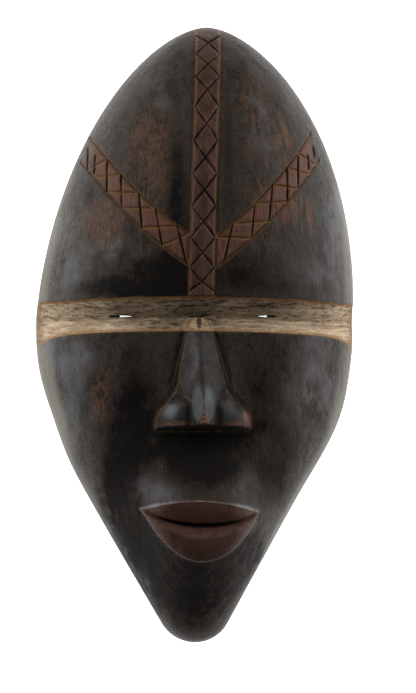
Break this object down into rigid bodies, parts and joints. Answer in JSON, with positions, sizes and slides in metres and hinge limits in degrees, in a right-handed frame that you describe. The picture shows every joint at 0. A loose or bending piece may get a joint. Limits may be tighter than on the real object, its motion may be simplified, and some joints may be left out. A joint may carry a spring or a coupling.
{
  "type": "dan race mask",
  "caption": "Oval wooden face mask with a high forehead, crossed-cut bands, whitened eye channel with slit eyes, parted lips and pointed chin, hollow behind.",
  "frame": {"origin": "centre of the bounding box, on the plane of the back rim that the mask lies on", "axes": "+Y from the chin to the top of the forehead, +X to the right of someone facing the mask, +Z out of the face, away from the back rim"},
  "size_m": [0.143, 0.277, 0.0761],
  "materials": {
    "dark_wood": "dark polished patina, reddish in the bands and on the lips, chalky white in the eye channel"
  },
  "bodies": {
    "root": {"carved_mask": "dark_wood"}
  },
  "joints": []
}
